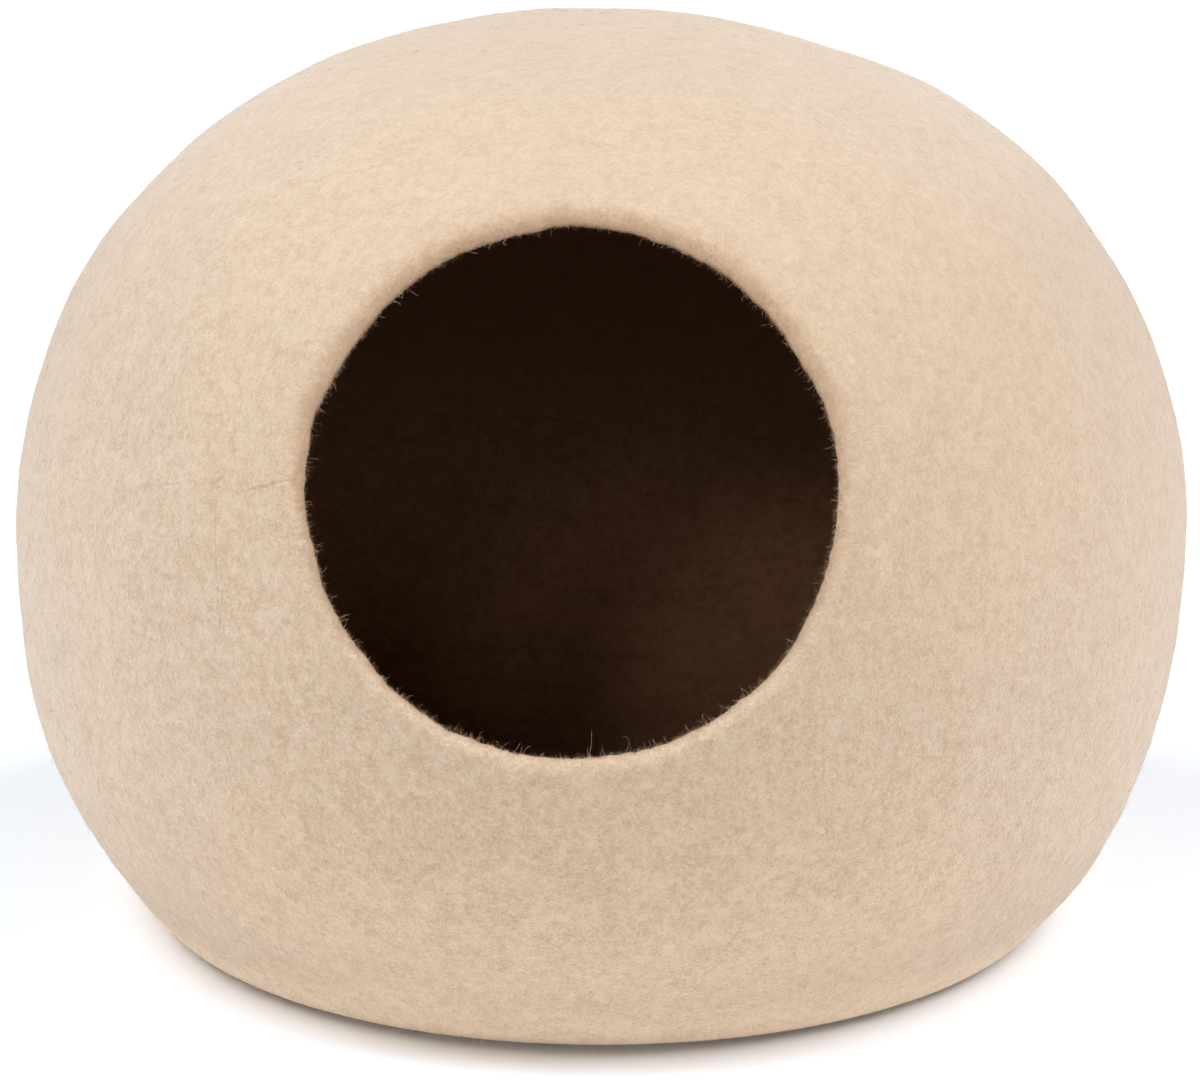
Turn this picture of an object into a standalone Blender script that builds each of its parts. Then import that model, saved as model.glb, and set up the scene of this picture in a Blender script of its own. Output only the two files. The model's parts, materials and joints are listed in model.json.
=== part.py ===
"""Felt cat cave: one seamless shell of thick wool felt, a low round dome with a round mouth in front.

Units are metres. +Z is up, the mouth faces -Y, and the origin is the centre of the flat base.
The shell is felted in one piece, so it is one solid. It is lofted in rings: from the middle of the
base, up the outer face to the mouth, round the thick soft lip and back along the inner face.
"""

import math

import bmesh
import bpy
from mathutils import Matrix, Vector

# Driving dimensions
WIDTH = 0.500  # across the widest part, the waist
WAIST_HEIGHT = 0.155  # height of the waist above the floor
CROWN_RISE = 0.226  # from the waist to the top
WALL = 0.008  # thickness of the felt
FOOT_RADIUS = 0.012  # rounding where the wall turns under into the base

# The side view is two quarter ovals that meet at the waist. A power above 2 makes them squarer.
OVAL_POWER = 2.2
SKIRT_DEPTH = 0.228  # how far the lower oval would reach below the waist if the floor did not cut it

# The mouth is where a cone from the middle of the waist meets the shell.
MOUTH_ELEVATION = math.radians(20.5)
MOUTH_TURN = math.radians(-3.0)  # a little towards -X
MOUTH_HALF_ANGLE = math.radians(23.8)
MOUTH_STRETCH = 0.030  # how much taller than wide the cone is

# Where the edge of the mouth strays from that cone. Each row has an angle round the mouth in
# degrees, from its lowest point towards +X, how far the edge lies out in millimetres, and a spread.
MOUTH_STRAYS = (
    # angle, out, spread
    (345, 0.7, 30),
    (45, 0.8, 20),
    (130, -1.9, 22),
    (180, 0.8, 12),
    (235, -1.7, 20),
    (270, 1.2, 10),
    (292, 0.7, 10),
)

# The felt rises in a soft roll round the mouth and is thicker there, most of all above it, where
# it hangs over the opening. Its edge is a round nose.
ROLL_TOP = 0.0058  # height of the roll above the mouth
ROLL_BOTTOM = 0.0002
ROLL_FROM_EDGE = 0.007
ROLL_REACH = 0.013
LIP_WALL_TOP = 0.0125  # thickness of the felt at the lip
LIP_WALL_BOTTOM = 0.0085
LIP_WALL_REACH = 0.016
NOSE_TOP = 0.0080  # how far the round nose stands out past the even wall
NOSE_BOTTOM = 0.0045

# Swells and hollows of a dome shaped by hand. Each row is one of them: its bearing from the front
# towards +X and its elevation seen from the middle of the waist, in degrees, its height outwards
# in millimetres, and its spread in degrees.
UNEVENNESS = (
    # bearing, elevation, height, spread
    (87, -12, -1.8, 12),
    (78, -36, 1.5, 9),
    (92, 6, 1.6, 8),
    (99, 29, -1.0, 7),
    (105, 44, 1.5, 9),
    (122, 62, -1.6, 10),
    (-78, -37, -1.5, 8),
    (-84, -20, 2.0, 9),
    (-91, 5, 0.7, 8),
    (-96, 19, -0.9, 8),
    (-100, 32, -0.8, 8),
    (-115, 57, 1.0, 10),
    (-152, 73, 0.7, 9),
    (160, 20, 1.2, 16),
    (-150, 5, -1.0, 18),
    (180, -20, -0.8, 15),
    (140, -8, 1.0, 14),
)
LEVEL_HEIGHT = 0.030  # the unevenness dies out between this height and the floor

# Mesh
COLUMNS = 60
WALL_RINGS = 27
RING_EASE = 1.25  # above 1, rings crowd together near the mouth
FOOT_RINGS = 3
BASE_RINGS = 1
LIP_RINGS = 5

FELT_COLOUR = (0.72, 0.57, 0.41, 1.0)
FELT_ROUGHNESS = 0.95


def clear_scene():
    for obj in list(bpy.data.objects):
        bpy.data.objects.remove(obj)


def smoothstep(share):
    share = min(max(share, 0.0), 1.0)
    return share * share * (3 - 2 * share)


def oval_reach(direction):
    """Distance from the middle of the waist to the plain dome, along a direction."""
    depth = CROWN_RISE if direction.z >= 0 else SKIRT_DEPTH
    across = (math.hypot(direction.x, direction.y) / (WIDTH / 2)) ** OVAL_POWER
    upright = (abs(direction.z) / depth) ** OVAL_POWER
    return (across + upright) ** (-1 / OVAL_POWER)


def skirt_radius(height):
    """Radius of the plain dome at a height below the waist."""
    drop = (WAIST_HEIGHT - height) / SKIRT_DEPTH
    return WIDTH / 2 * (1 - drop**OVAL_POWER) ** (1 / OVAL_POWER)


def skirt_normal(height):
    """Elevation of the outward normal of the plain dome at a height below the waist."""
    across = skirt_radius(height) ** (OVAL_POWER - 1) / (WIDTH / 2) ** OVAL_POWER
    down = (WAIST_HEIGHT - height) ** (OVAL_POWER - 1) / SKIRT_DEPTH**OVAL_POWER
    return -math.atan2(down, across)


def toward(bearing, elevation):
    """Unit vector at a bearing from the front (-Y) towards +X, and an elevation."""
    across = math.cos(elevation)
    return Vector((math.sin(bearing) * across, -math.cos(bearing) * across, math.sin(elevation)))


WAIST = Vector((0, 0, WAIST_HEIGHT))
MOUTH_AXIS = toward(MOUTH_TURN, MOUTH_ELEVATION)
ANGLES = [2 * math.pi * column / COLUMNS for column in range(COLUMNS)]


def unevenness(direction):
    total = 0.0
    for bearing, elevation, height, spread in UNEVENNESS:
        middle = toward(math.radians(bearing), math.radians(elevation))
        away = math.degrees(direction.angle(middle))
        total += height / 1000 * math.exp(-((away / spread) ** 2))
    return total


def between(bottom, top, direction):
    """A size that grows from the lower side of the mouth to its upper side."""
    side = (direction - MOUTH_AXIS * direction.dot(MOUTH_AXIS)).normalized()
    return bottom + (top - bottom) * smoothstep(0.5 + 0.55 * side.z)


def lip_roll(direction, from_edge):
    """How far the roll round the mouth stands out at a distance from the mouth's edge."""
    height = between(ROLL_BOTTOM, ROLL_TOP, direction)
    return height * math.exp(-(((from_edge - ROLL_FROM_EDGE) / ROLL_REACH) ** 2))


def wall_at(point):
    """Thickness of the felt at a point of its outer face."""
    direction = (point - WAIST).normalized()
    from_edge = WIDTH / 2 * (direction.angle(MOUTH_AXIS) - MOUTH_HALF_ANGLE)
    extra = between(LIP_WALL_BOTTOM, LIP_WALL_TOP, direction) - WALL
    return WALL + extra * math.exp(-((from_edge / LIP_WALL_REACH) ** 2))


def skin_point(direction, from_edge):
    """Point of the outer face in a direction from the middle of the waist."""
    reach = oval_reach(direction)
    level = smoothstep((WAIST_HEIGHT + reach * direction.z) / LEVEL_HEIGHT)
    reach += level * unevenness(direction) + lip_roll(direction, from_edge)
    return WAIST + direction * reach


def edge_stray(angle):
    """How far the edge of the mouth strays from its cone, as an angle."""
    total = 0.0
    for middle, out, spread in MOUTH_STRAYS:
        away = (math.degrees(angle) - middle + 180) % 360 - 180
        total += out / 1000 * math.exp(-((away / spread) ** 2))
    return total / (WIDTH / 2)


def cone_direction(angle, half_angle, share):
    """Direction at an angle round a ring, where share is 0 at the mouth and 1 at the foot."""
    lean = (math.pi / 2 - MOUTH_ELEVATION) * (1 - share)
    stretch = 1 + MOUTH_STRETCH * (1 - share)
    half_angle += edge_stray(angle) * (1 - share) ** 8
    across = Vector((math.sin(angle), -math.cos(angle) * stretch, 0)) * math.sin(half_angle)
    turn = Matrix.Rotation(MOUTH_TURN, 3, "Z") @ Matrix.Rotation(lean, 3, "X")
    return (turn @ (across + Vector((0, 0, math.cos(half_angle))))).normalized()


def wall_rings(foot_height):
    """Rings from the mouth to the top of the foot, each a cone wider and more upright than the last."""
    last_half_angle = math.atan2(skirt_radius(foot_height), foot_height - WAIST_HEIGHT)
    for ring in range(WALL_RINGS + 1):
        share = (ring / WALL_RINGS) ** RING_EASE
        points = []
        for angle in ANGLES:
            nose = between(NOSE_BOTTOM, NOSE_TOP, cone_direction(angle, MOUTH_HALF_ANGLE, 0))
            first_half_angle = MOUTH_HALF_ANGLE + nose / (WIDTH / 2)
            half_angle = first_half_angle + (last_half_angle - first_half_angle) * share
            from_edge = WIDTH / 2 * (half_angle - MOUTH_HALF_ANGLE)
            points.append(skin_point(cone_direction(angle, half_angle, share), from_edge))
        yield points


def shrunk(point, inset, height):
    """The point moved towards the vertical axis by an inset and set at a height."""
    flat = Vector((point.x, point.y, 0))
    return flat * (1 - inset / flat.length) + Vector((0, 0, height))


def foot_rings(top_ring, top_normal):
    """Rings of the rounding that turns the wall under, from below its top ring to the floor."""
    for ring in range(1, FOOT_RINGS + 1):
        normal = top_normal + (-math.pi / 2 - top_normal) * ring / FOOT_RINGS
        inset = FOOT_RADIUS * (math.cos(top_normal) - math.cos(normal))
        height = FOOT_RADIUS * (1 + math.sin(normal))
        yield [shrunk(point, inset, height) for point in top_ring]


def base_rings(edge_ring):
    for ring in range(1, BASE_RINGS + 1):
        share = 1 - ring / (BASE_RINGS + 1)
        yield [Vector((point.x * share, point.y * share, 0)) for point in edge_ring]


def outer_rings():
    foot_normal = skirt_normal(FOOT_RADIUS * (1 + math.sin(skirt_normal(0))))
    foot_height = FOOT_RADIUS * (1 + math.sin(foot_normal))
    rings = list(wall_rings(foot_height))
    rings += foot_rings(rings[-1], foot_normal)
    rings += base_rings(rings[-1])
    return rings


def inner_rings(outer):
    """The outer rings moved inwards by the thickness of the felt, along the normals."""
    for ring, row in enumerate(outer):
        above = outer[max(ring - 1, 0)]
        below = outer[min(ring + 1, len(outer) - 1)]
        points = []
        for column, point in enumerate(row):
            round_it = row[(column + 1) % COLUMNS] - row[column - 1]
            normal = (below[column] - above[column]).cross(round_it).normalized()
            points.append(point - normal * wall_at(point))
        yield points


def lip_rings(outer, first_inner):
    """Half an oval round the mouth, from the outer face to the inner one."""
    for step in range(1, LIP_RINGS + 1):
        turn = math.pi * step / (LIP_RINGS + 1)
        points = []
        for edge, further, inside in zip(outer[0], outer[1], first_inner):
            middle, half = (edge + inside) / 2, (edge - inside) / 2
            to_mouth = (edge - further).normalized()
            to_mouth = (to_mouth - to_mouth.project(half)).normalized()
            nose = between(NOSE_BOTTOM, NOSE_TOP, (edge - WAIST).normalized())
            points.append(middle + half * math.cos(turn) + to_mouth * nose * math.sin(turn))
        yield points


def shell_mesh():
    """A tube of rings, each vertex of which then moves to its place, with a fan at either end."""
    outer = outer_rings()
    inner = list(inner_rings(outer))
    rows = outer[::-1] + list(lip_rings(outer, inner[0])) + inner

    bm = bmesh.new()
    rings = []
    for height in range(len(rows)):
        level = Matrix.Translation((0, 0, height))
        rings.append(bmesh.ops.create_circle(bm, segments=COLUMNS, radius=9, matrix=level)["verts"])
    loops = [list({edge for vert in ring for edge in vert.link_edges}) for ring in rings]
    for one, other in zip(loops, loops[1:]):
        bmesh.ops.bridge_loops(bm, edges=one + other)
    for ring, points in zip(rings, rows):
        for vert, point in zip(ring, points):
            vert.co = point
    for loop in (loops[0], loops[-1]):
        middle = bmesh.ops.edgeloop_fill(bm, edges=loop)["faces"]
        bmesh.ops.poke(bm, faces=middle)
    bmesh.ops.recalc_face_normals(bm, faces=bm.faces)

    mesh = bpy.data.meshes.new("felt_shell")
    bm.to_mesh(mesh)
    bm.free()
    mesh.shade_smooth()
    return mesh


def felt_material():
    material = bpy.data.materials.new("cream_felt")
    material.use_nodes = True
    shader = material.node_tree.nodes["Principled BSDF"]
    shader.inputs["Base Color"].default_value = FELT_COLOUR
    shader.inputs["Roughness"].default_value = FELT_ROUGHNESS
    shader.inputs["Metallic"].default_value = 0.0
    return material


def add_felt_shell():
    shell = bpy.data.objects.new("felt_shell", shell_mesh())
    bpy.context.scene.collection.objects.link(shell)
    shell.data.materials.append(felt_material())


clear_scene()
add_felt_shell()
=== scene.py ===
# %% [markdown]
# # A felt cat cave
#
# The real cave is wool and nothing else. A maker wraps combed wool round a ball, wets it with soapy
# water and rubs it until the fibres lock into one thick seamless skin. Then the ball comes out through
# a round hole, which becomes the mouth. So there is one piece to model, and its looks are all in three
# things: the slightly uneven dome, the soft rolled lip of the mouth, and the hairy face of the felt.
#
# The plan is: load the fixed frame, set the camera and the studio, loft the skin, give it its wall,
# mix the felt, and grow the loose wool on it.

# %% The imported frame
import json
import math
import random

import bmesh
import bpy
from mathutils import Matrix, Vector, noise

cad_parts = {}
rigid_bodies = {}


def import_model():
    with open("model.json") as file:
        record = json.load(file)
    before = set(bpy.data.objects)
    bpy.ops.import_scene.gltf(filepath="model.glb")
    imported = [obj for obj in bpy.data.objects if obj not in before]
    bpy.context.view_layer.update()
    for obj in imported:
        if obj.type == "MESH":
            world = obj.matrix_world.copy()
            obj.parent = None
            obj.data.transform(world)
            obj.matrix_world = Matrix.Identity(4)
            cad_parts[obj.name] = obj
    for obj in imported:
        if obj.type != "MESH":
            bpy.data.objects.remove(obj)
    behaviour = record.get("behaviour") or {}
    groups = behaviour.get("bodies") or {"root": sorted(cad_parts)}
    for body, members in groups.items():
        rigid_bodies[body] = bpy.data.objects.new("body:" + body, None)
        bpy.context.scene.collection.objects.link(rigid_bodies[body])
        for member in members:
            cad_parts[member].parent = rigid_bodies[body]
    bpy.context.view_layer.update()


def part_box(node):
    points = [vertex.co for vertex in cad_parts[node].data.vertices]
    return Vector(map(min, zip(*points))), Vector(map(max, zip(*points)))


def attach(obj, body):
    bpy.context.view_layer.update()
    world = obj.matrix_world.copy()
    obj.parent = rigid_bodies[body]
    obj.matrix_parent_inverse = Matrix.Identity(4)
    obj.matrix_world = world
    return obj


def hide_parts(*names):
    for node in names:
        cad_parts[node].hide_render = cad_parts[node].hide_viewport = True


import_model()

shell_low, shell_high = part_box("felt_shell")
print("the shell reaches from", tuple(shell_low), "to", tuple(shell_high))

# %% [markdown]
# ## The camera
#
# The cave is seen from the front and a little above. A long lens from nearly two metres keeps the
# dome round: a short lens close by would swell the mouth and shrink the back. The camera looks down
# by a few degrees, so the far rim of the base stays hidden and the inside of the back wall shows.

# %% A long lens, looking slightly down
CAMERA_DISTANCE = 1.8
CAMERA_DROP = math.radians(15.58)
AIM = Vector((-0.0007, 0, 0.1536))

camera = bpy.data.objects.new("camera", bpy.data.cameras.new("camera"))
bpy.context.scene.collection.objects.link(camera)
bpy.context.scene.camera = camera
camera.data.sensor_width = 36
camera.data.lens = 124.96
camera.location = AIM + CAMERA_DISTANCE * Vector((0, -math.cos(CAMERA_DROP), math.sin(CAMERA_DROP)))
camera.rotation_euler = (math.pi / 2 - CAMERA_DROP, 0, 0)
print("camera at", tuple(round(x, 3) for x in camera.location))

# %% [markdown]
# ## Shader maths as plain Python
#
# A felt colour is a sum of many small effects. Wiring each sum by hand is slow to read, so two small
# classes let a material be written as arithmetic. `Flow` wraps the output of a node, and `+`, `-` and
# `*` on flows add Math nodes. `Graph` owns a node tree and makes any other node in one call: its
# type, its settings, and then the values or links of its inputs.

# %% Flow and Graph
class Flow:
    """The output of a node. Arithmetic on it adds Math nodes."""

    def __init__(self, graph, socket):
        self.graph = graph
        self.socket = socket

    def __add__(self, other):
        return self.graph.maths("ADD", self, other)

    def __sub__(self, other):
        return self.graph.maths("SUBTRACT", self, other)

    def __rsub__(self, other):
        return self.graph.maths("SUBTRACT", other, self)

    def __mul__(self, other):
        return self.graph.maths("MULTIPLY", self, other)

    def __abs__(self):
        return self.graph.maths("ABSOLUTE", self)

    __radd__ = __add__
    __rmul__ = __mul__


class Graph:
    """A node tree that is written as expressions."""

    def __init__(self, tree):
        self.tree = tree

    def node(self, kind, settings=None, output=0, **inputs):
        """Adds a node. Settings come first, then values or links; an input n is the socket's number."""
        made = self.tree.nodes.new(kind)
        for name, value in (settings or {}).items():
            setattr(made, name, value)
        for name, value in inputs.items():
            key = int(name[1:]) if name[1:].isdigit() else name.replace("_", " ")
            self.plug(made.inputs[key], value)
        return None if output is None else Flow(self, made.outputs[output])

    def plug(self, socket, value):
        if isinstance(value, Flow):
            self.tree.links.new(value.socket, socket)
        else:
            socket.default_value = value

    def maths(self, operation, *values):
        inputs = {f"n{place}": value for place, value in enumerate(values)}
        return self.node("ShaderNodeMath", {"operation": operation}, **inputs)

    def smooth(self, value, start, end):
        """0 below start, 1 above end, and a soft step between."""
        settings = {"interpolation_type": "SMOOTHSTEP"}
        return self.node("ShaderNodeMapRange", settings, Value=value, n1=start, n2=end)

    def dot(self, one, other):
        settings = {"operation": "DOT_PRODUCT"}
        return self.node("ShaderNodeVectorMath", settings, output="Value", n0=one, n1=other)

    def mix(self, share, one, other):
        """A colour that goes from one to other as share goes from 0 to 1."""
        settings = {"data_type": "RGBA"}
        return self.node("ShaderNodeMix", settings, output=2, n0=share, n6=one, n7=other)


print("Flow and Graph are ready")

# %% [markdown]
# ## The studio
#
# Pale wool looks best in light that comes mostly from above, on a white sweep that is bright enough
# to vanish, so that the felt is lit almost evenly and only the bottom edge has a dark line under it.
# A wide sun over each shoulder lights the whole sweep alike. Cool panels overhead keep the crown pale,
# and two snooted lamps in front shine mostly into the mouth. The world is dark but for a bright low
# wall all round, which fills the sides and the inside and hardly lightens the shadow. The base of the
# cave sags a little in its middle, so the floor lies that much lower and shows dark under the edge.

# %% Lamps
WHITE = (1.0, 1.0, 1.0)
COOL = (0.80, 1.0, 1.22)
SUN_WIDTH = math.radians(40)
SUNS = (
    # name, strength, way to it, tint
    ("sun_left", 1.82, (-0.65, -0.14, 0.85), (1.03, 1.0, 0.96)),
    ("sun_right", 2.76, (0.65, -0.14, 0.85), (0.975, 1.0, 1.05)),
)
PANELS = (
    # name, watts, place, the point it faces, width, height
    ("panel_high", 12.0, (-1.1, -0.3, 1.6), (0, 0, 0.1), 0.8, 0.8),
    ("panel_above", 4.2, (0, -0.9, 1.7), (0, 0, 0.1), 0.8, 0.8),
    ("panel_right", 5.0, (1.9, -0.1, 0.9), (0, 0, 0.15), 1.2, 1.4),
)
SNOOT_WIDTH = math.radians(9)
SNOOT_AIM = (-0.013, -0.235, 0.235)
SNOOTS = (
    # name, watts, place
    ("snoot_left", 64, (-0.55, -1.95, 1.15)),
    ("snoot", 26, (-0.17, -2.02, 1.08)),
)

bpy.context.scene.view_settings.view_transform = "Standard"


def lamp(name, kind, strength, place, aim, tint=WHITE):
    """A light that shines from a place to a point."""
    light = bpy.data.objects.new(name, bpy.data.lights.new(name, kind))
    bpy.context.scene.collection.objects.link(light)
    light.data.energy = strength
    light.data.color = tint
    light.location = place
    light.rotation_euler = (Vector(aim) - Vector(place)).to_track_quat("-Z", "Y").to_euler()
    return light.data


for name, strength, way, tint in SUNS:
    sun = lamp(name, "SUN", strength, Vector(way) * 2, (0, 0, 0), tint)
    sun.angle = SUN_WIDTH
for name, watts, place, aim, width, height in PANELS:
    panel = lamp(name, "AREA", watts, place, aim, COOL)
    panel.shape = "RECTANGLE"
    panel.size = width
    panel.size_y = height
for name, watts, place in SNOOTS:
    snoot = lamp(name, "SPOT", watts, place, SNOOT_AIM)
    snoot.spot_size = SNOOT_WIDTH
    snoot.spot_blend = 1.0
    snoot.shadow_soft_size = 0.28
print(len(SUNS), "suns,", len(PANELS), "panels and", len(SNOOTS), "snoots")

# %% A bright low wall all round
WALL_STRENGTH = 1.65
WALL_TOP = 0.22  # sine of the elevation where the wall starts to fade
CEILING = 0.34  # sine of the elevation where it has gone


def studio_world():
    world = bpy.data.worlds.new("studio")
    bpy.context.scene.world = world
    world.use_nodes = True
    graph = Graph(world.node_tree)
    background = world.node_tree.nodes["Background"]
    background.inputs["Color"].default_value = (*WHITE, 1.0)
    way = graph.node("ShaderNodeTexCoord", output="Generated")
    height = graph.node("ShaderNodeSeparateXYZ", output="Z", Vector=way)
    wall = 1 - graph.smooth(height, WALL_TOP, CEILING)
    graph.plug(background.inputs["Strength"], wall * WALL_STRENGTH)


studio_world()
print("the wall fades", round(math.degrees(math.asin(WALL_TOP))), "degrees up")

# %% The white sweep
BASE_SAG = 0.0024  # how far the middle of the base hangs below its edge
FLOOR_GAP = 0.0001
FLOOR_HALF = 6
SWEEP = (0.90, 0.912, 0.928, 1)


def studio_floor():
    floor_height = shell_low.z - BASE_SAG - FLOOR_GAP
    bm = bmesh.new()
    bmesh.ops.create_grid(bm, x_segments=1, y_segments=1, size=FLOOR_HALF)
    bmesh.ops.translate(bm, verts=bm.verts, vec=(0, 0, floor_height))
    mesh = bpy.data.meshes.new("floor")
    bm.to_mesh(mesh)
    bm.free()
    floor = bpy.data.objects.new("floor", mesh)
    bpy.context.scene.collection.objects.link(floor)
    paint = bpy.data.materials.new("white_sweep")
    paint.use_nodes = True
    shader = paint.node_tree.nodes["Principled BSDF"]
    shader.inputs["Base Color"].default_value = SWEEP
    shader.inputs["Roughness"].default_value = 1.0
    shader.inputs["Specular IOR Level"].default_value = 0.0
    mesh.materials.append(paint)
    return floor_height


print("the floor lies at", round(studio_floor() * 1000, 2), "mm")

# %% [markdown]
# ## The dome as a formula
#
# Seen from the side, a felted ball that has sat down is two quarter ovals that meet at its waist.
# A plain ellipse is too pointed for it, so each oval is a superellipse: the sum of two powers a
# little above 2. The dome is star shaped seen from the middle of its waist, which gives a handy way
# to place any point of it: choose a direction, and the formula says how far out the felt is.

# %% Sizes of the dome
WAIST_HEIGHT = 0.155
HALF_WIDTH = 0.250
CROWN_RISE = shell_high.z - WAIST_HEIGHT
SKIRT_DEPTH = 0.228
OVAL_POWER = 2.2
WALL = 0.008
FOOT_RADIUS = 0.012
WAIST = Vector((0, 0, WAIST_HEIGHT))


def smoothstep(share):
    share = min(max(share, 0.0), 1.0)
    return share * share * (3 - 2 * share)


def oval_reach(direction):
    """Distance from the middle of the waist to the plain dome, along a direction."""
    depth = CROWN_RISE if direction.z >= 0 else SKIRT_DEPTH
    across = (math.hypot(direction.x, direction.y) / HALF_WIDTH) ** OVAL_POWER
    upright = (abs(direction.z) / depth) ** OVAL_POWER
    return (across + upright) ** (-1 / OVAL_POWER)


def toward(bearing, elevation):
    """Unit vector at a bearing from the front (-Y) towards +X and an elevation, both in degrees."""
    bearing, elevation = math.radians(bearing), math.radians(elevation)
    across = math.cos(elevation)
    return Vector((math.sin(bearing) * across, -math.cos(bearing) * across, math.sin(elevation)))


def skirt_radius(height):
    drop = (WAIST_HEIGHT - height) / SKIRT_DEPTH
    return HALF_WIDTH * (1 - drop**OVAL_POWER) ** (1 / OVAL_POWER)


def skirt_normal(height):
    """Elevation of the outward normal of the plain dome at a height below the waist."""
    across = skirt_radius(height) ** (OVAL_POWER - 1) / HALF_WIDTH**OVAL_POWER
    down = (WAIST_HEIGHT - height) ** (OVAL_POWER - 1) / SKIRT_DEPTH**OVAL_POWER
    return -math.atan2(down, across)


print("crown is", round(CROWN_RISE * 1000, 1), "mm above the waist")

# %% [markdown]
# ## What hands and a parcel did to it
#
# No felted dome is a true surface of revolution. The maker's hands leave broad swells and hollows,
# which are a short table. The cave also travels folded flat, which leaves fine creases,
# but they are so shallow that they can wait for the felt's own relief. Noise adds the small lumps of
# the wool on top, because a surface with nothing but the placed bumps would look machined.

# %% Swells and lumps
SWELLS = (
    # bearing, elevation, height in mm, spread in degrees
    (87, -12, -1.8, 12),
    (78, -36, 1.5, 9),
    (92, 6, 1.6, 8),
    (99, 29, -1.0, 7),
    (105, 44, 1.5, 9),
    (122, 62, -1.6, 10),
    (-78, -37, -1.5, 8),
    (-84, -20, 2.0, 9),
    (-91, 5, 0.7, 8),
    (-96, 19, -0.9, 8),
    (-100, 32, -0.8, 8),
    (-115, 57, 1.0, 10),
    (-152, 73, 0.7, 9),
    (160, 20, 1.2, 16),
    (-150, 5, -1.0, 18),
    (180, -20, -0.8, 15),
    (140, -8, 1.0, 14),
)
BROAD_LUMPS = 0.0011  # height, in metres
SMALL_LUMPS = 0.00035
LEVEL_HEIGHT = 0.030  # all of this dies out between this height and the floor


def swell(direction):
    total = 0.0
    for bearing, elevation, height, spread in SWELLS:
        away = math.degrees(direction.angle(toward(bearing, elevation)))
        total += height / 1000 * math.exp(-((away / spread) ** 2))
    return total


def lumps(direction):
    """Lumps of the wool: two sizes of noise."""
    broad = noise.noise(direction * 5.0)
    small = noise.noise(direction * 16.0 + Vector((7, 0, 0)))
    return BROAD_LUMPS * broad + SMALL_LUMPS * small


print(len(SWELLS), "swells")

# %% [markdown]
# ## The mouth and its lip
#
# The mouth is where a leaning cone from the middle of the waist cuts the dome. Round it, the wet felt
# was stretched and rubbed, so it stands up in a soft roll about a finger's width from the edge, high
# above the opening and hardly there below it. The felt is also thicker there, and its edge is round,
# like the rim of a bowl. The edge wavers by less than a millimetre.

# %% Sizes of the mouth
MOUTH_TURN = math.radians(-3.0)
MOUTH_ELEVATION = math.radians(20.5)
MOUTH_HALF_ANGLE = math.radians(23.7)
MOUTH_STRETCH = 0.030  # how much taller than wide the cone is
MOUTH_AXIS = toward(math.degrees(MOUTH_TURN), math.degrees(MOUTH_ELEVATION))
MOUTH_STRAYS = (
    # angle round the mouth from its lowest point towards +X, how far out in mm, spread in degrees
    (345, 0.7, 30),
    (340, -0.6, 7),
    (45, 0.8, 20),
    (55, 0.6, 9),
    (85, -0.4, 12),
    (122, -0.6, 14),
    (130, -1.9, 22),
    (155, -0.5, 10),
    (180, 0.8, 12),
    (195, -0.8, 10),
    (235, -1.7, 20),
    (255, 1.3, 9),
    (270, 1.2, 10),
    (292, 0.7, 10),
)
SCALLOP = 0.12  # slow waver of the edge, in degrees
RAGGED = 0.16  # quick waver of the edge, in degrees
ROLL_TOP = 0.0062  # height of the roll above the opening
ROLL_BOTTOM = 0.0005
ROLL_FROM_EDGE = 0.0105
ROLL_REACH = 0.013
LIP_WALL_TOP = 0.0145  # thickness of the felt at the lip
LIP_WALL_BOTTOM = 0.0105
LIP_WALL_REACH = 0.016
NOSE_TOP = 0.0105  # how far the round edge stands out past the even wall
NOSE_BOTTOM = 0.0065


def highness(direction):
    """0 below the mouth, 1 above it."""
    side = (direction - MOUTH_AXIS * direction.dot(MOUTH_AXIS)).normalized()
    return smoothstep(0.5 + 0.55 * side.z)


def between(bottom, top, direction):
    """A size that grows from the lower side of the mouth to its upper side."""
    return bottom + (top - bottom) * highness(direction)


def lip_roll(direction, from_edge):
    height = between(ROLL_BOTTOM, ROLL_TOP, direction)
    return height * math.exp(-(((from_edge - ROLL_FROM_EDGE) / ROLL_REACH) ** 2))


def wall_at(direction, from_edge):
    """Thickness of the felt."""
    extra = between(LIP_WALL_BOTTOM, LIP_WALL_TOP, direction) - WALL
    return WALL + extra * math.exp(-((from_edge / LIP_WALL_REACH) ** 2))


def edge_waver(angle):
    """How far the edge of the mouth strays from the cone, as an angle."""
    total = 0.0
    for middle, out, spread in MOUTH_STRAYS:
        away = (math.degrees(angle) - middle + 180) % 360 - 180
        total += out / 1000 * math.exp(-((away / spread) ** 2))
    round_it = Vector((math.cos(angle), math.sin(angle), 0))
    scallop = noise.noise(round_it * 9.0 + Vector((0, 0, 9)))
    ragged = noise.noise(round_it * 26.0 + Vector((0, 0, 5)))
    return total / HALF_WIDTH + math.radians(SCALLOP * scallop + RAGGED * ragged)


def skin_point(direction, from_edge):
    """Point of the outer skin in a direction from the middle of the waist."""
    reach = oval_reach(direction)
    level = smoothstep((WAIST_HEIGHT + reach * direction.z) / LEVEL_HEIGHT)
    reach += level * (swell(direction) + lumps(direction))
    return WAIST + direction * (reach + lip_roll(direction, from_edge))


print("the mouth is about", round(2000 * HALF_WIDTH * math.sin(MOUTH_HALF_ANGLE)), "mm across")

# %% [markdown]
# ## Lofting the skin
#
# How could this be made? A UV sphere with a hole in it would put its poles in the wrong places, and a
# boolean cut would leave a ragged ring of faces exactly where the lip needs an even one. So the felt
# is lofted. The outer rings come first, as plain lists of points: the first one lies just outside the
# edge of the mouth, each next one is a wider and more upright cone, and the last ones turn under the
# foot and run in across the base.

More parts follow.
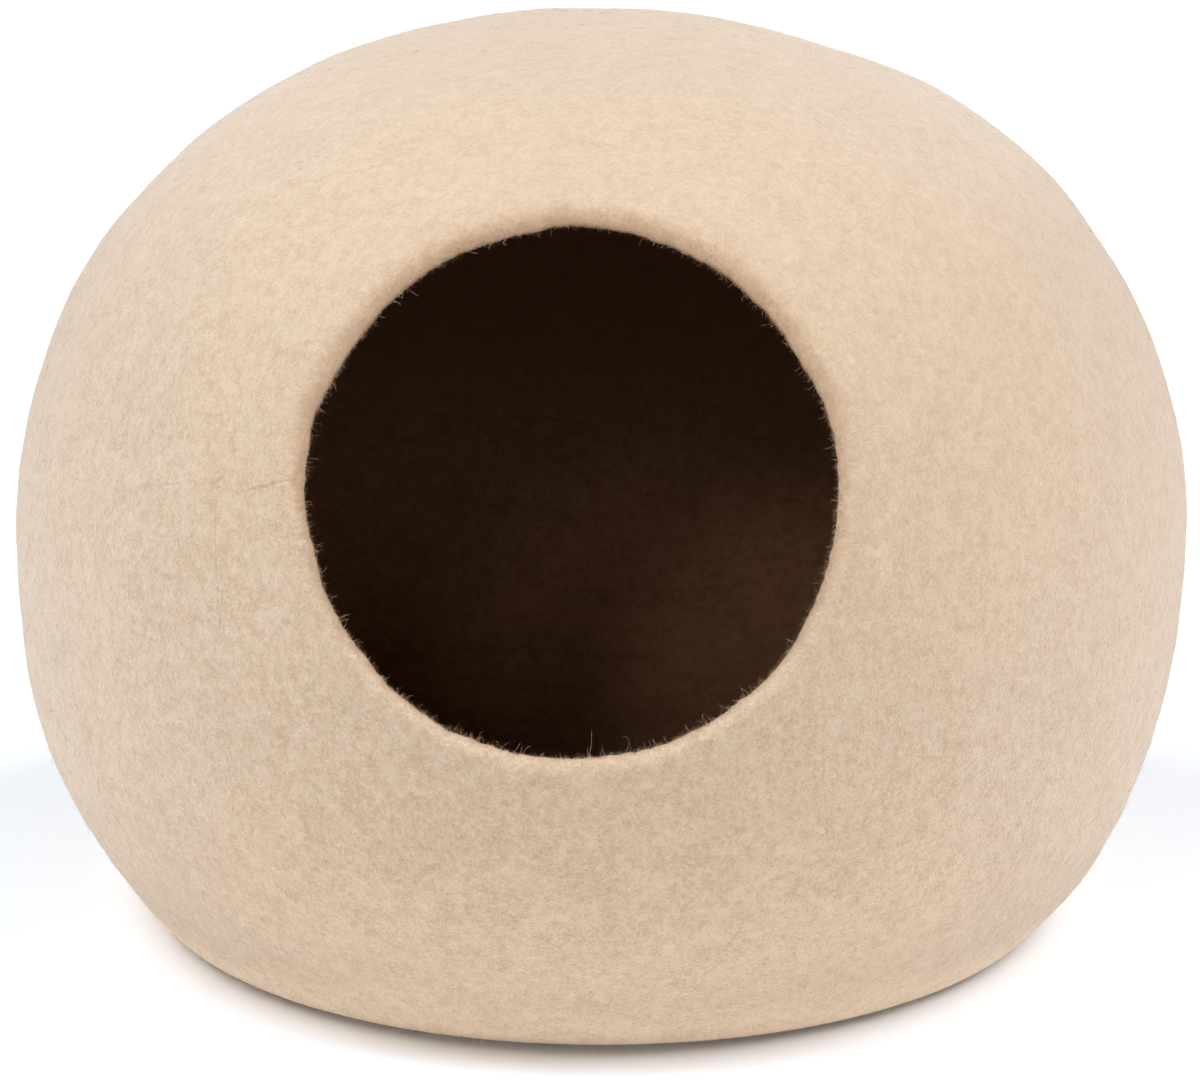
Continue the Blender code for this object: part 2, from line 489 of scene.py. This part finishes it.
# %% Rings of the outer face
COLUMNS = 288
WALL_RINGS = 120
FOOT_RINGS = 6
BASE_SHARES = (0.97, 0.9, 0.75, 0.5, 0.25)
RING_EASE = 1.3  # above 1, rings crowd together near the mouth
WAVER_FADE = 8  # the higher, the sooner the waver of the edge dies out behind it
ANGLES = [2 * math.pi * column / COLUMNS for column in range(COLUMNS)]


def cone_direction(angle, half_angle, share):
    """Direction at an angle round a ring, where share is 0 at the mouth and 1 at the foot."""
    lean = (math.pi / 2 - MOUTH_ELEVATION) * (1 - share)
    stretch = 1 + MOUTH_STRETCH * (1 - share)
    half_angle += edge_waver(angle) * (1 - share) ** WAVER_FADE
    across = Vector((math.sin(angle), -math.cos(angle) * stretch, 0)) * math.sin(half_angle)
    turn = Matrix.Rotation(MOUTH_TURN, 3, "Z") @ Matrix.Rotation(lean, 3, "X")
    return (turn @ (across + Vector((0, 0, math.cos(half_angle))))).normalized()


def wall_rings(foot_height):
    """Rings of points, each with its distance from the edge of the mouth."""
    last_half_angle = math.atan2(skirt_radius(foot_height), foot_height - WAIST_HEIGHT)
    for ring in range(WALL_RINGS + 1):
        share = (ring / WALL_RINGS) ** RING_EASE
        points = []
        for angle in ANGLES:
            nose = between(NOSE_BOTTOM, NOSE_TOP, cone_direction(angle, MOUTH_HALF_ANGLE, 0))
            first_half_angle = MOUTH_HALF_ANGLE + nose / HALF_WIDTH
            half_angle = first_half_angle + (last_half_angle - first_half_angle) * share
            from_edge = HALF_WIDTH * (half_angle - MOUTH_HALF_ANGLE)
            points.append(skin_point(cone_direction(angle, half_angle, share), from_edge))
        yield points


def pulled_in(point, inset, height):
    """The point moved towards the vertical axis by an inset and set at a height."""
    flat = Vector((point.x, point.y, 0))
    return flat * (1 - inset / flat.length) + Vector((0, 0, height))


def outer_rings():
    foot_normal = skirt_normal(FOOT_RADIUS * (1 + math.sin(skirt_normal(0))))
    rings = list(wall_rings(FOOT_RADIUS * (1 + math.sin(foot_normal))))
    top_of_foot = rings[-1]
    for ring in range(1, FOOT_RINGS + 1):
        normal = foot_normal + (-math.pi / 2 - foot_normal) * ring / FOOT_RINGS
        inset = FOOT_RADIUS * (math.cos(foot_normal) - math.cos(normal))
        height = FOOT_RADIUS * (1 + math.sin(normal))
        rings.append([pulled_in(point, inset, height) for point in top_of_foot])
    edge_of_base = rings[-1]
    for share in BASE_SHARES:
        low = -BASE_SAG * (1 - share**2)
        rings.append([Vector((point.x * share, point.y * share, low)) for point in edge_of_base])
    return rings


outer = outer_rings()
print(len(outer), "outer rings of", COLUMNS, "points")

# %% [markdown]
# ## The inner face and the round edge
#
# The inner face is the outer one moved inwards by the thickness of the felt, along the normals, which
# come from the neighbouring points of each ring. Half an oval then joins the two faces round the
# mouth: it starts along the outer face and arrives along the inner one, so there is no hard line
# anywhere on the lip, as on the real one, where wet hands have rubbed the cut round.

# %% Inner rings and lip rings
LIP_RINGS = 11
INNER_STEP = 2  # the inner wall needs only every second ring
CORNER_RINGS = 7  # rings of the inner wall that the eased corner takes in
CORNER_PASSES = 40


def normal_at(rings, ring, column):
    """Outward normal at a point of the outer face."""
    row = rings[ring]
    round_it = row[(column + 1) % COLUMNS] - row[column - 1]
    above = rings[max(ring - 1, 0)][column]
    below = rings[min(ring + 1, len(rings) - 1)][column]
    return (below - above).cross(round_it).normalized()


def inner_ring(rings, ring):
    points = []
    for column, point in enumerate(rings[ring]):
        arm = (point - WAIST).normalized()
        from_edge = HALF_WIDTH * (arm.angle(MOUTH_AXIS) - MOUTH_HALF_ANGLE)
        points.append(point - normal_at(rings, ring, column) * wall_at(arm, from_edge))
    return points


def eased_corner(rings):
    """The inner face with a soft hollow where the wall turns into the base."""
    first = len(rings) - len(BASE_SHARES) - FOOT_RINGS - CORNER_RINGS
    for _ in range(CORNER_PASSES):
        for ring in range(first, len(rings) - 2):
            neighbours = zip(rings[ring - 1], rings[ring], rings[ring + 1])
            rings[ring] = [(before + here * 2 + after) / 4 for before, here, after in neighbours]
    return rings


def lip_ring(rings, first_inner, turn):
    """Ring at a turn of 0 to pi round the lip, from the outer face to the inner one."""
    points = []
    for column, (outside, inside) in enumerate(zip(rings[0], first_inner)):
        middle, half = (outside + inside) / 2, (outside - inside) / 2
        to_mouth = rings[0][column] - rings[1][column]
        to_mouth = (to_mouth - half * to_mouth.dot(half) / half.length_squared).normalized()
        nose = between(NOSE_BOTTOM, NOSE_TOP, (outside - WAIST).normalized())
        points.append(middle + half * math.cos(turn) + to_mouth * nose * math.sin(turn))
    return points


sides = [0] + list(range(INNER_STEP, WALL_RINGS, INNER_STEP)) + list(range(WALL_RINGS, len(outer)))
inner = eased_corner([inner_ring(outer, ring) for ring in sides])
turns = [math.pi * step / (LIP_RINGS + 1) for step in range(1, LIP_RINGS + 1)]
lip = [lip_ring(outer, inner[0], turn) for turn in turns]
print(len(lip), "lip rings and", len(inner), "inner rings")

# %% [markdown]
# ## One closed loft
#
# `create_circle` makes a ring of vertices for each row, stacked one above the other as a plain tube,
# and `bridge_loops` joins each ring to the next. Only then is every vertex moved to its place: loops
# that are bridged where they finally lie can be matched the wrong way round, on the flat base above
# all. A fan closes the middle of the base, inside and out. Each vertex also gets a mark called
# `inside`: 0 on the outer face, 1 on the inner one, and in between round the lip. The inside of this
# cave is a deep brown wool and the outside a cream one, and the material reads this mark. Above the
# mouth the mark runs ahead, so the brown reaches further out there: painted shade on the upper lip.

# %% From rings to a mesh
TUBE_RADIUS = 9  # of the plain tube, before its points move
PAINTED_SHADE_AHEAD = 0.8


def plain_tube(bm, rows, sides, radius):
    """A straight open tube. Gives its rings of vertices and the loops of edges at its two ends."""
    rings = []
    for height in range(rows):
        level = Matrix.Translation((0, 0, height))
        made = bmesh.ops.create_circle(bm, segments=sides, radius=radius, matrix=level)
        rings.append(made["verts"])
    loops = [list(dict.fromkeys(edge for vert in ring for edge in vert.link_edges)) for ring in rings]
    for one, other in zip(loops, loops[1:]):
        bmesh.ops.bridge_loops(bm, edges=one + other)
    return rings, loops[0], loops[-1]


def inside_mark(point, share):
    """How far inside a point is, from how far round the lip it is."""
    # the mark runs ahead above the mouth: painted shade on the upper lip
    ahead = PAINTED_SHADE_AHEAD * highness((point - WAIST).normalized())
    return share + ahead * share * (1 - share)


def loft_felt():
    rows = [(points, 0.0) for points in reversed(outer)]
    rows += [(points, turn / math.pi) for points, turn in zip(lip, turns)]
    rows += [(points, 1.0) for points in inner]

    bm = bmesh.new()
    mark = bm.verts.layers.float.new("inside")
    rings, outer_end, inner_end = plain_tube(bm, len(rows), COLUMNS, TUBE_RADIUS)
    for ring, (points, inside) in zip(rings, rows):
        for vert, point in zip(ring, points):
            vert.co = point
            vert[mark] = inside_mark(point, inside)
    for loop, inside in ((outer_end, 0.0), (inner_end, 1.0)):
        middle = bmesh.ops.edgeloop_fill(bm, edges=loop)["faces"]
        for vert in bmesh.ops.poke(bm, faces=middle)["verts"]:
            vert[mark] = inside
    bmesh.ops.recalc_face_normals(bm, faces=bm.faces)

    mesh = bpy.data.meshes.new("felt_cave")
    bm.to_mesh(mesh)
    bm.free()
    return mesh


cave = bpy.data.objects.new("felt_cave", loft_felt())
bpy.context.scene.collection.objects.link(cave)
cave.data.shade_smooth()
print("the cave has", len(cave.data.polygons), "faces")

# %% [markdown]
# ## The felt
#
# Felt up close is a tangle of pale curls over darker gaps, a millimetre or two apart, with broad
# patches where the wool lay thicker. The gaps are a fine noise. The curls are the trick here: where a
# soft noise passes through its middle value it draws thin closed curves, and a few such layers of
# different sizes look like hair. The same layers feed the bump, so that the light catches them. The
# creases that folding left are arcs between two directions, a short table again, and they also darken
# the colour a little, as painted shade. Towards the floor the felt is painted paler and warmer, as a
# painted fill light, and its lowest edge is painted palest of all.

# %% Creases that folding left
def wool_noise(graph, coordinates, scale, detail, shift=0.0, roughness=0.6, distortion=0.0):
    place = graph.node("ShaderNodeMapping", Vector=coordinates, Location=(shift, shift, 0))
    return graph.node(
        "ShaderNodeTexNoise",
        Vector=place,
        Scale=scale,
        Detail=detail,
        Roughness=roughness,
        Distortion=distortion,
    )


CREASES = (
    # bearing and elevation of one end, of the other end, half width in mm, depth
    (-34.9, 17.0, -29.6, 18.7, 1.3, 1.0),
    (-50.9, 14.9, -38.6, 17.3, 1.4, 0.45),
    (-38.4, 17.1, -37.2, 18.2, 1.5, 1.0),
    (-37.9, 18.4, -36.0, 4.6, 1.0, 0.45),
    (21.9, 20.4, 33.3, 20.9, 1.4, 0.45),
    (33.3, 20.9, 52.4, 18.9, 1.7, 0.3),
    (23.0, 17.9, 40.0, 18.4, 1.5, 0.3),
    (19.3, -3.4, 21.2, -18.0, 1.5, 0.35),
)
CREASE_WAVER = 3.0  # in mm


def crease_marks(graph, at):
    """1 in the middle of a deep crease and 0 away from all of them."""
    from_waist = graph.node("ShaderNodeVectorMath", {"operation": "SUBTRACT"}, n0=at, n1=WAIST)
    arm = graph.node("ShaderNodeVectorMath", {"operation": "NORMALIZE"}, n0=from_waist)
    waver = (wool_noise(graph, at, 90.0, 2.0, shift=8.3) - 0.5) * CREASE_WAVER
    marks = 0.0
    for bearing, elevation, other_bearing, other_elevation, half_width, depth in CREASES:
        start, end = toward(bearing, elevation), toward(other_bearing, other_elevation)
        middle, pole = (start + end).normalized(), start.cross(end).normalized()
        off = graph.dot(arm, pole) * (HALF_WIDTH * 1000) + waver
        across = 1 - graph.smooth(abs(off), 0.0, half_width)
        half_length = start.angle(middle)
        along = graph.smooth(
            graph.dot(arm, middle), math.cos(half_length * 1.3), math.cos(half_length * 0.7)
        )
        marks = graph.maths("MAXIMUM", marks, across * along * depth)
    return marks


print(len(CREASES), "creases")

# %% Curls, painted wrinkle shade and dull wool
def curls(graph, coordinates, scale, width, shift):
    """Thin curved lines, as 0 to 1: where a noise crosses its middle value."""
    tangle = wool_noise(graph, coordinates, scale, 0.5, shift, distortion=0.8)
    return 1 - graph.smooth(abs(tangle - 0.5), 0.0, width)


def wrinkle_shade(graph, coordinates):
    """0 along level wavy lines in the inner wool, 1 elsewhere: painted shade in its wrinkles."""
    flat = graph.node("ShaderNodeMapping", Vector=coordinates, Scale=(0.22, 0.22, 1.0))
    tangle = wool_noise(graph, flat, 38.0, 1.5, shift=2.2, roughness=0.5, distortion=0.3)
    return graph.smooth(abs(tangle - 0.5), 0.0, 0.035)


def wool_shader(graph, colour, normal, sheen):
    """Dull wool, with a pale sheen where its face is seen at a slant."""
    return graph.node(
        "ShaderNodeBsdfPrincipled",
        Base_Color=colour,
        Normal=normal,
        Roughness=0.95,
        Specular_IOR_Level=0.10,
        Sheen_Weight=sheen,
        Sheen_Roughness=0.60,
        Sheen_Tint=(1.0, 0.98, 0.95, 1),
    )


print("curls, wrinkles and dull wool are ready")

# %% Mixing the felt
CREAM_GAP = (0.375, 0.248, 0.150, 1)
CREAM_WOOL = (0.465, 0.345, 0.224, 1)
CREAM_BLUSH = (0.485, 0.335, 0.234, 1)
CREAM_CURL = (0.57, 0.46, 0.345, 1)
# multipliers of the cream near the floor: painted fill light
NO_PAINTED_FILL = (1, 1, 1, 1)
SKIRT_PAINTED_FILL = (1.155, 1.125, 1.08, 1)
HEM_PAINTED_FILL = (1.66, 1.68, 1.66, 1)
BROWN_GAP = (0.24, 0.120, 0.059, 1)
BROWN_WOOL = (0.43, 0.226, 0.116, 1)
# painted shade for the upper inside
BROWN_PAINTED_SHADE = (0.09, 0.042, 0.020, 1)
OUTER_SHEEN = 0.35
CROWN_CALM = 0.45  # how much of the contrast the rubbed crown has lost
LIP_PAINTED_SHADE = 0.36  # share of brown mixed into the cream at the edge: painted shade


def felt_material():
    felt = bpy.data.materials.new("cream_felt")
    felt.use_nodes = True
    graph = Graph(felt.node_tree)
    at = graph.node("ShaderNodeTexCoord", output="Object")

    # the tangle of the wool
    clumps = wool_noise(graph, at, 60.0, 2.0, shift=3.1)
    tangle = wool_noise(graph, at, 190.0, 4.0, shift=5.7, roughness=0.80)
    hair = graph.maths(
        "MAXIMUM", curls(graph, at, 330.0, 0.060, 0.3), curls(graph, at, 520.0, 0.090, 1.7)
    )
    creases = crease_marks(graph, at)
    # creases lower the gaps, so the colour darkens along them: painted shade in the creases
    gaps = graph.smooth(tangle * 0.80 + clumps * 0.20 - creases * 0.08, 0.32, 0.66)
    away, height = (graph.node("ShaderNodeSeparateXYZ", output=axis, Vector=at) for axis in "XZ")
    rubbed = graph.smooth(height + away * 0.4, 0.10, 0.38)
    calm = 1 - rubbed * CROWN_CALM
    gaps = 0.55 + (gaps - 0.55) * calm
    hair = hair * calm

    # cream outside, darkened with brown towards the edge of the mouth as painted shade
    blush = graph.smooth(wool_noise(graph, at, 420.0, 1.0, shift=12.9), 0.35, 0.65)
    depth = graph.node("ShaderNodeAttribute", {"attribute_name": "inside"}, output="Fac")
    ground = graph.mix(gaps, CREAM_GAP, graph.mix(blush, CREAM_WOOL, CREAM_BLUSH))
    cream = graph.mix(hair * 0.40, ground, CREAM_CURL)
    cream = graph.mix(graph.smooth(depth, 0.20, 0.80) * LIP_PAINTED_SHADE, cream, BROWN_WOOL)
    # painted fill light: the cream is made paler and warmer towards the floor, and palest at its lowest
    # edge
    skirt = 1 - graph.smooth(height, 0.010, 0.150)
    hem = 1 - graph.smooth(height, -0.003, 0.029)
    painted_fill = graph.mix(hem, graph.mix(skirt, NO_PAINTED_FILL, SKIRT_PAINTED_FILL), HEM_PAINTED_FILL)
    cream = graph.node("ShaderNodeVectorMath", {"operation": "MULTIPLY"}, n0=cream, n1=painted_fill)

    # brown inside, darkened towards the crown with painted shade
    # the wrinkle lines darken the inner brown: painted shade
    fluff = gaps * 0.5 + hair * 0.35 + wrinkle_shade(graph, at) * 0.15
    brown = graph.mix(fluff, BROWN_GAP, BROWN_WOOL)
    brown = graph.mix(graph.smooth(height, 0.06, 0.22) * 0.85, brown, BROWN_PAINTED_SHADE)

    # one relief for both
    relief = gaps * 0.9 + hair * 0.5 - creases * 1.5
    bump = graph.node("ShaderNodeBump", Height=relief, Strength=0.6, Distance=0.0005)

    # the brown begins on the far side of the lip, and only the outside has a sheen
    inner = graph.smooth(depth + (clumps - 0.5) * 0.3, 0.64, 0.85)
    outer_felt = wool_shader(graph, cream, bump, OUTER_SHEEN)
    inner_felt = wool_shader(graph, graph.mix(inner, cream, brown), bump, 0.0)
    turned_in = graph.smooth(depth, 0.10, 0.50)
    both = graph.node("ShaderNodeMixShader", n0=turned_in, n1=outer_felt, n2=inner_felt)
    output = felt.node_tree.nodes["Material Output"]
    graph.plug(output.inputs["Surface"], both)
    felt.node_tree.nodes.remove(felt.node_tree.nodes["Principled BSDF"])
    return felt


cave.data.materials.append(felt_material())
print("felt mixed")

# %% [markdown]
# ## Loose wool
#
# Felt is never bald. Short curly fibres stand out of it everywhere, and along the edge of the mouth
# they show up pale against the dark inside. A strand is made the way the cave was: a straight tube of
# small rings first, each of which then moves to its place along a curl. A few dozen strands are
# enough, because each one is used hundreds of times, turned and scaled at random.

# %% One strand
STRAND_SIDES = 3
ROOT_DEPTH = 0.0004  # how deep the foot of a strand is in the felt


def curly_path(rng, length, steps, rise, curl, droop):
    """Points of a curl that leaves the origin at an angle above the XY plane, with directions."""
    way = Vector((math.cos(rise), 0, math.sin(rise)))
    place = Vector((0, 0, -ROOT_DEPTH))
    side = rng.choice((-1, 1))
    path = [(place.copy(), way.copy())]
    for _ in range(steps):
        place += way * length / steps
        way = Matrix.Rotation(side * curl / steps * rng.uniform(0.3, 1.7), 3, "Z") @ way
        way.z -= droop / steps * rng.uniform(0.5, 1.5)
        way.normalize()
        path.append((place.copy(), way.copy()))
    return path


def add_strand(bm, path, thickness):
    """A closed tube along a path, thinner towards its tip."""
    rings, foot, tip = plain_tube(bm, len(path), STRAND_SIDES, 1)
    for loop in (foot, tip):
        bmesh.ops.edgeloop_fill(bm, edges=loop)
    for step, (ring, (place, way)) in enumerate(zip(rings, path)):
        across = way.cross(Vector((0.1, 0.2, 1))).normalized()
        above = across.cross(way)
        radius = thickness / 2 * (1 - 0.5 * step / (len(path) - 1))
        for corner, vert in enumerate(ring):
            turn = 2 * math.pi * corner / STRAND_SIDES
            vert.co = place + (across * math.cos(turn) + above * math.sin(turn)) * radius
    bmesh.ops.recalc_face_normals(bm, faces=bm.faces)


print("a strand has", STRAND_SIDES, "sides")

# %% Kinds of strand
KINDS_OF_EACH = 24


def strand_kinds(name, seed, lengths, steps, rises, curls, droops, thickness):
    """A collection of different strands, to be scattered and then removed."""
    rng = random.Random(seed)
    kinds = bpy.data.collections.new(name)
    for number in range(KINDS_OF_EACH):
        bm = bmesh.new()
        length, rise = rng.uniform(*lengths), rng.uniform(*rises)
        curl, droop = rng.uniform(*curls), rng.uniform(*droops)
        add_strand(bm, curly_path(rng, length, steps, rise, curl, droop), thickness)
        mesh = bpy.data.meshes.new(f"{name}_{number}")
        bm.to_mesh(mesh)
        bm.free()
        mesh.shade_smooth()
        kinds.objects.link(bpy.data.objects.new(mesh.name, mesh))
    return kinds


nap_kinds = strand_kinds(
    "nap",
    seed=1,
    lengths=(0.003, 0.007),
    steps=4,
    rises=(0.15, 0.45),
    curls=(0.8, 3.5),
    droops=(0.3, 0.8),
    thickness=0.00010,
)
rim_kinds = strand_kinds(
    "rim",
    seed=2,
    lengths=(0.0020, 0.0050),
    steps=5,
    rises=(0.3, 1.3),
    curls=(3.0, 8.0),
    droops=(0.0, 1.5),
    thickness=0.00011,
)
fuzz_kinds = strand_kinds(
    "fuzz",
    seed=3,
    lengths=(0.0008, 0.0022),
    steps=2,
    rises=(0.3, 1.4),
    curls=(0.5, 3.0),
    droops=(0.0, 1.0),
    thickness=0.00012,
)
kinds_of_strand = (nap_kinds, rim_kinds, fuzz_kinds)

# %% [markdown]
# ## Scattering the strands
#
# Three marks on the cave say where wool grows: `nap` is 1 all over the outer face, down to a finger's
# breadth above the floor, `rim` is 1 on the round edge of the mouth, and `hem` is 1 on the lowest
# edge of the dome. A small geometry node tree spreads points by such a mark, puts a random strand on
# each with its foot in the felt, and turns the result into one mesh. The nap comes in several pieces,
# each of its own shade of cream, because wool from one sheep is never one colour. The rim gets two
# pieces: thin curls of a few millimetres, and a dense fuzz of short ones that softens the edge.

# %% Where the wool grows
NAP_START = 0.010  # height above the floor where the nap starts
NAP_FULL = 0.016
NAP_PER_SQUARE_METRE = 9500
RIM_PER_SQUARE_METRE = 250000
FUZZ_PER_SQUARE_METRE = 2200000
HEM_PER_SQUARE_METRE = 300000
HEM_TOP = 0.0030  # height above the base where the wool of the hem ends
OUTSIDE_END = 0.3  # the `inside` mark up to which a point counts as outer face
RIM_START, RIM_END = 0.35, 0.82  # the `inside` marks between which the rim lies
NAP_SHADES = {
    "nap_ivory": (0.58, 0.49, 0.385, 1),
    "nap_pale": (0.53, 0.42, 0.31, 1),
    "nap_cream": (0.47, 0.355, 0.25, 1),
    "nap_fawn": (0.40, 0.29, 0.20, 1),
}
CURL_SHADE = (0.53, 0.37, 0.225, 1)
RIM_SHADE = (0.46, 0.33, 0.22, 1)
# the hem strands are made pale: painted light on wool that hangs in the shade under the edge
HEM_PAINTED_LIGHT = (0.80, 0.68, 0.55, 1)


def mark_wool(mesh):
    inside = mesh.attributes["inside"].data
    nap = mesh.attributes.new("nap", "FLOAT", "POINT")
    rim = mesh.attributes.new("rim", "FLOAT", "POINT")
    hem = mesh.attributes.new("hem", "FLOAT", "POINT")
    for number, vert in enumerate(mesh.vertices):
        depth = inside[number].value
        height = (vert.co.z - NAP_START) / (NAP_FULL - NAP_START)
        outside = depth < OUTSIDE_END
        nap.data[number].value = smoothstep(height) * outside
        rim.data[number].value = float(RIM_START < depth < RIM_END)
        hem.data[number].value = float(outside and 0 < vert.co.z < HEM_TOP)


print(len(NAP_SHADES), "shades of nap")

# %% One scatter for every kind of wool
def plain_wool(name, colour):
    wool = bpy.data.materials.new(name)
    wool.use_nodes = True
    shader = wool.node_tree.nodes["Principled BSDF"]
    shader.inputs["Base Color"].default_value = colour
    shader.inputs["Roughness"].default_value = 0.9
    shader.inputs["Specular IOR Level"].default_value = 0.05
    return wool


def apply_modifiers(thing):
    """Replaces an object's mesh with what its modifiers make of it, and removes them."""
    evaluated = thing.evaluated_get(bpy.context.evaluated_depsgraph_get())
    finished = bpy.data.meshes.new_from_object(evaluated)
    thing.modifiers.clear()
    plain = thing.data
    thing.data = finished
    bpy.data.meshes.remove(plain)
    finished.name = thing.name


def scatter(source, name, mark, density, kinds, seed, sizes, colour):
    """Strands scattered over a mesh where a mark is set, as one mesh of their own."""
    group = bpy.data.node_groups.new(name, "GeometryNodeTree")
    group.interface.new_socket("Geometry", in_out="OUTPUT", socket_type="NodeSocketGeometry")
    graph = Graph(group)
    felt = graph.node("GeometryNodeObjectInfo", output="Geometry", Object=source)
    where = graph.node("GeometryNodeInputNamedAttribute", {"data_type": "FLOAT"}, Name=mark)
    where = graph.maths("MULTIPLY", where, density)
    spread = graph.node("GeometryNodeDistributePointsOnFaces", Mesh=felt, Density=where, Seed=seed)
    upright = Flow(graph, spread.socket.node.outputs["Rotation"])
    spin = graph.node(
        "FunctionNodeRandomValue",
        {"data_type": "FLOAT_VECTOR"},
        n0=(-0.2, -0.2, 0.0),
        n1=(0.2, 0.2, 2 * math.pi),
        Seed=seed + 1,
    )
    settings = {"rotation_space": "LOCAL"}
    turned = graph.node("FunctionNodeRotateRotation", settings, Rotation=upright, Rotate_By=spin)
    size = graph.node(
        "FunctionNodeRandomValue", {"data_type": "FLOAT"}, 1, n2=sizes[0], n3=sizes[1], Seed=seed + 2
    )
    strands = graph.node(
        "GeometryNodeCollectionInfo", Collection=kinds, Separate_Children=True, Reset_Children=True
    )
    placed = graph.node(
        "GeometryNodeInstanceOnPoints",
        Points=spread,
        Instance=strands,
        Pick_Instance=True,
        Rotation=turned,
        Scale=size,
    )
    whole = graph.node("GeometryNodeRealizeInstances", Geometry=placed)
    graph.node("NodeGroupOutput", output=None, Geometry=whole)

    piece = bpy.data.objects.new(name, bpy.data.meshes.new(name))
    bpy.context.scene.collection.objects.link(piece)
    piece.modifiers.new("scatter", "NODES").node_group = group
    apply_modifiers(piece)
    bpy.data.node_groups.remove(group)
    piece.data.materials.clear()
    piece.data.materials.append(plain_wool(name, colour))
    return piece


print("the scatter is ready")

# %% Growing it
mark_wool(cave.data)
thinning = 1.0
growths = [
    # name, mark, strands per square metre, kinds, seed, least and greatest size, colour
    (name, "nap", NAP_PER_SQUARE_METRE * thinning, nap_kinds, 10 * number, (0.6, 1.25), shade)
    for number, (name, shade) in enumerate(NAP_SHADES.items())
]
growths += [
    ("rim_wool", "rim", RIM_PER_SQUARE_METRE, rim_kinds, 77, (0.5, 1.2), CURL_SHADE),
    ("rim_fuzz", "rim", FUZZ_PER_SQUARE_METRE, fuzz_kinds, 91, (0.5, 1.2), RIM_SHADE),
    ("hem_wool", "hem", HEM_PER_SQUARE_METRE, fuzz_kinds, 55, (0.9, 2.1), HEM_PAINTED_LIGHT),
]
wool = [scatter(cave, *growth) for growth in growths]
for kinds in kinds_of_strand:
    for strand in list(kinds.objects):
        bpy.data.meshes.remove(strand.data)
    bpy.data.collections.remove(kinds)
for piece in wool:
    triangles = sum(len(face.vertices) - 2 for face in piece.data.polygons)
    print(piece.name, "has", triangles, "triangles")

# %% [markdown]
# ## Stray hairs
#
# A few long hairs catch the eye on any felt. Most stand up from the lower lip, one of them nearly
# straight and one curled like a hook, and a few lie flat beside the mouth. They are laid one by one.

# %% Laying them one by one
STANDING = (
    # angle round the mouth, heading from upright towards +X, bends after each step, length in mm
    (318, -20, (14,) * 8, 4.5),
    (331, 10, (-12, -12, 0, 12, 20, 20), 4.0),
    (339, -85, (36,) * 10, 9.0),
    (344, 15, (10,) * 6, 4.5),
    (346, 55, (-7,) * 6, 5.5),
    (349, 35, (-5, 5, 15, 15, 15), 5.0),
    (3, -35, (12,) * 5, 2.6),
    (4.4, 14, (-4,) * 5, 12.0),
    (7, 40, (-14,) * 6, 3.4),
    (13, 62, (-10, -12, -14, -14, -10, -20, -32, -36, -36), 11.5),
    (15, 75, (-6,) * 6, 5.0),
    (21, 30, (9,) * 6, 3.5),
    (27, -15, (14,) * 6, 4.0),
    (33, 20, (-20,) * 8, 5.0),
    (58, -40, (10,) * 6, 4.0),
    (262, 65, (9,) * 6, 5.0),
    (286, 80, (-12,) * 6, 4.0),
)
LYING = (
    # bearing and elevation of one end, then of the other
    (-36.1, 7.4, -36.1, 5.2),
    (-33.0, 13.2, -31.6, 14.1),
    (-27.9, 8.4, -27.2, 7.7),
    (14.0, -9.5, 15.2, -9.0),
)
STRAY_THICKNESS = 0.00009
STRAY_LIFT = 0.0002  # how far over the felt a lying hair is
STRAY_SHADE = (0.52, 0.42, 0.32, 1)
FAR_FROM_EDGE = 1.0  # out of reach of the roll round the mouth


def standing_path(angle, heading, bends, length):
    place = lip[LIP_RINGS // 2 + 1][round(angle / 360 * COLUMNS) % COLUMNS].copy()
    path = []
    for bend in (0, *bends):
        heading += bend
        slant = math.radians(heading)
        way = Vector((math.sin(slant), -0.2, math.cos(slant))).normalized()
        path.append((place.copy(), way))
        place += way * length / 1000 / len(bends)
    return path


def lying_path(bearing, elevation, other_bearing, other_elevation):
    start = skin_point(toward(bearing, elevation), FAR_FROM_EDGE)
    end = skin_point(toward(other_bearing, other_elevation), FAR_FROM_EDGE)
    lift = (start - WAIST).normalized() * STRAY_LIFT
    way = (end - start).normalized()
    return [(start.lerp(end, share) + lift, way) for share in (0, 0.35, 0.7, 1)]


def lay_strays():
    bm = bmesh.new()
    for stray in STANDING:
        add_strand(bm, standing_path(*stray), STRAY_THICKNESS)
    for stray in LYING:
        add_strand(bm, lying_path(*stray), STRAY_THICKNESS * 2)
    mesh = bpy.data.meshes.new("stray_hairs")
    bm.to_mesh(mesh)
    bm.free()
    mesh.materials.append(plain_wool("stray_hairs", STRAY_SHADE))
    piece = bpy.data.objects.new("stray_hairs", mesh)
    bpy.context.scene.collection.objects.link(piece)
    return piece


wool.append(lay_strays())
print(len(STANDING) + len(LYING), "stray hairs")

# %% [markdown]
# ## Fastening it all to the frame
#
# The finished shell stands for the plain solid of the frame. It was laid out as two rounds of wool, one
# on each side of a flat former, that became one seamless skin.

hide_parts("felt_shell")
for piece in [cave, *wool]:
    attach(piece, "root")
